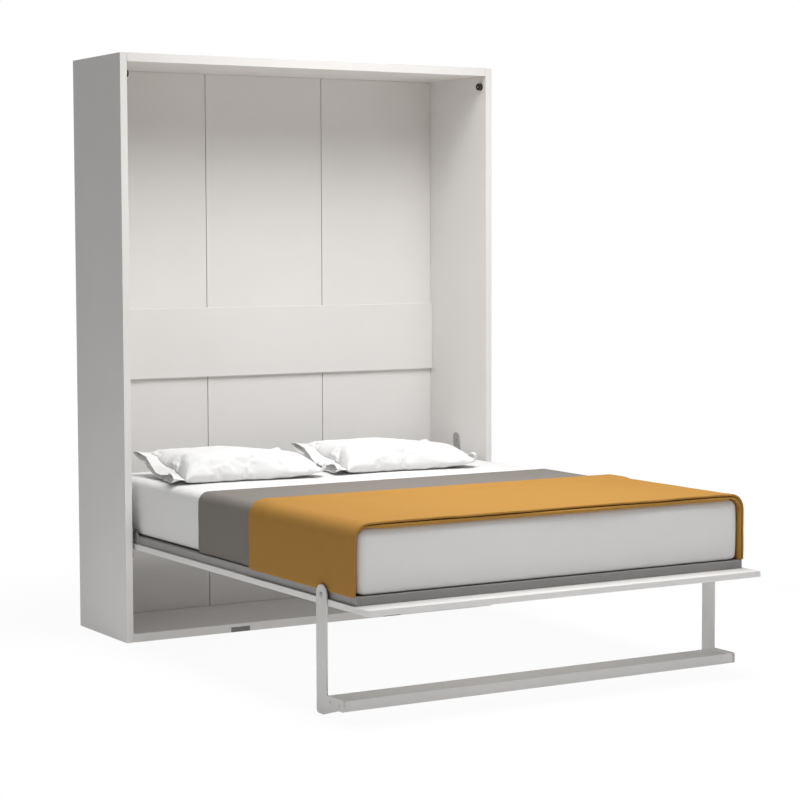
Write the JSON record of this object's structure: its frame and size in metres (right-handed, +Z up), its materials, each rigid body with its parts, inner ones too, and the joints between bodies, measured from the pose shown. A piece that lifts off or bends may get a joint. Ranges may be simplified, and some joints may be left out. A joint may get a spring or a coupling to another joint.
{
  "type": "murphy wall bed",
  "caption": "Vertical wall bed: an open-front cabinet with a fold-down double bed, a self-levelling shelf leg, gas struts, a mattress, folded throws and pillows.",
  "frame": {"origin": "on the floor, under the centre of the bounding box of the open bed", "axes": "+X to the right seen from the room, +Y towards the wall, +Z up"},
  "size_m": [1.61, 2.17, 2.17],
  "materials": {
    "white_board": "satin white melamine",
    "grey_plastic": "matte",
    "black_rubber": "matte",
    "zinc_steel": "zinc plated",
    "plate_steel": "satin grey paint",
    "frame_paint": "satin grey powder coat",
    "strut_paint": "black lacquer",
    "chrome_rod": "polished",
    "light_paint": "satin white powder coat",
    "slat_birch": "bare plywood",
    "mattress_cover": "stretch cotton cover",
    "grey_throw": "woven cotton",
    "ochre_throw": "woven cotton",
    "pillow_linen": "white cotton percale"
  },
  "bodies": {
    "cabinet": {"side_panel_left": "white_board", "side_panel_right": "white_board", "top_panel": "white_board", "base_panel": "white_board", "back_panel_left": "white_board", "back_panel_middle": "white_board", "back_panel_right": "white_board", "headboard_panel": "white_board", "base_glide_left": "grey_plastic", "base_glide_right": "grey_plastic", "stop_buffer_left": "black_rubber", "stop_buffer_right": "black_rubber", "buffer_screw_left": "zinc_steel", "buffer_screw_right": "zinc_steel", "pivot_plate_left": "plate_steel", "pivot_plate_right": "plate_steel", "strut_bracket_left": "plate_steel", "strut_bracket_right": "plate_steel", "bracket_bolt_left": "zinc_steel", "bracket_bolt_right": "zinc_steel", "strut_stud_left": "zinc_steel", "strut_stud_right": "zinc_steel"},
    "bed": {"front_panel": "white_board", "rail_left": "frame_paint", "rail_right": "frame_paint", "rail_head": "frame_paint", "rail_foot": "frame_paint", "centre_beam": "frame_paint", "mattress_stop": "frame_paint", "slat_1": "slat_birch", "slat_2": "slat_birch", "slat_3": "slat_birch", "slat_4": "slat_birch", "slat_5": "slat_birch", "slat_6": "slat_birch", "slat_7": "slat_birch", "slat_8": "slat_birch", "slat_9": "slat_birch", "arm_plate_left": "plate_steel", "arm_plate_right": "plate_steel", "pivot_pin_left": "zinc_steel", "pivot_pin_right": "zinc_steel", "leg_bolt_left": "zinc_steel", "leg_bolt_right": "zinc_steel", "mattress": "mattress_cover", "throw_grey": "grey_throw", "throw_ochre": "ochre_throw", "pillow_left": "pillow_linen", "pillow_right": "pillow_linen"},
    "leg": {"leg_plate_left": "light_paint", "leg_plate_right": "light_paint", "leg_shelf": "white_board", "shelf_screw_rear_left": "zinc_steel", "shelf_screw_rear_right": "zinc_steel", "shelf_screw_front_left": "zinc_steel", "shelf_screw_front_right": "zinc_steel"},
    "strut_left": {"strut_cylinder_left": "strut_paint"},
    "rod_left": {"strut_rod_left": "chrome_rod"},
    "strut_right": {"strut_cylinder_right": "strut_paint"},
    "rod_right": {"strut_rod_right": "chrome_rod"}
  },
  "joints": [
    {"name": "bed_fold", "type": "hinge", "parent": "cabinet", "child": "bed", "pos_m": [0, 0.671, 0.377], "axis": [-1, 0, 0], "range_deg": [0, 90]},
    {"name": "leg_fold", "type": "hinge", "parent": "bed", "child": "leg", "pos_m": [0, -0.802, 0.378], "axis": [-1, 0, 0], "range_deg": [-90, 0]},
    {"name": "strut_swing_left", "type": "hinge", "parent": "cabinet", "child": "strut_left", "pos_m": [-0.763, 0.8464, 0.585], "axis": [-1, 0, 0], "range_deg": [0, 6.12]},
    {"name": "strut_stroke_left", "type": "slide", "parent": "strut_left", "child": "rod_left", "axis": [0, -0.3819, -0.9242], "range_m": [0, 0.1309]},
    {"name": "strut_swing_right", "type": "hinge", "parent": "cabinet", "child": "strut_right", "pos_m": [0.763, 0.8464, 0.585], "axis": [-1, 0, 0], "range_deg": [0, 6.12]},
    {"name": "strut_stroke_right", "type": "slide", "parent": "strut_right", "child": "rod_right", "axis": [0, -0.3819, -0.9242], "range_m": [0, 0.1309]}
  ],
  "couplings": [
    {"joint": "leg_fold", "follows": "bed_fold", "ratio": -1},
    {"joint": "strut_swing_left", "follows": "bed_fold", "ratio": 0.067914},
    {"joint": "strut_stroke_left", "follows": "bed_fold", "m_per_rad": 0.083202},
    {"joint": "strut_swing_right", "follows": "bed_fold", "ratio": 0.067914},
    {"joint": "strut_stroke_right", "follows": "bed_fold", "m_per_rad": 0.083202}
  ]
}
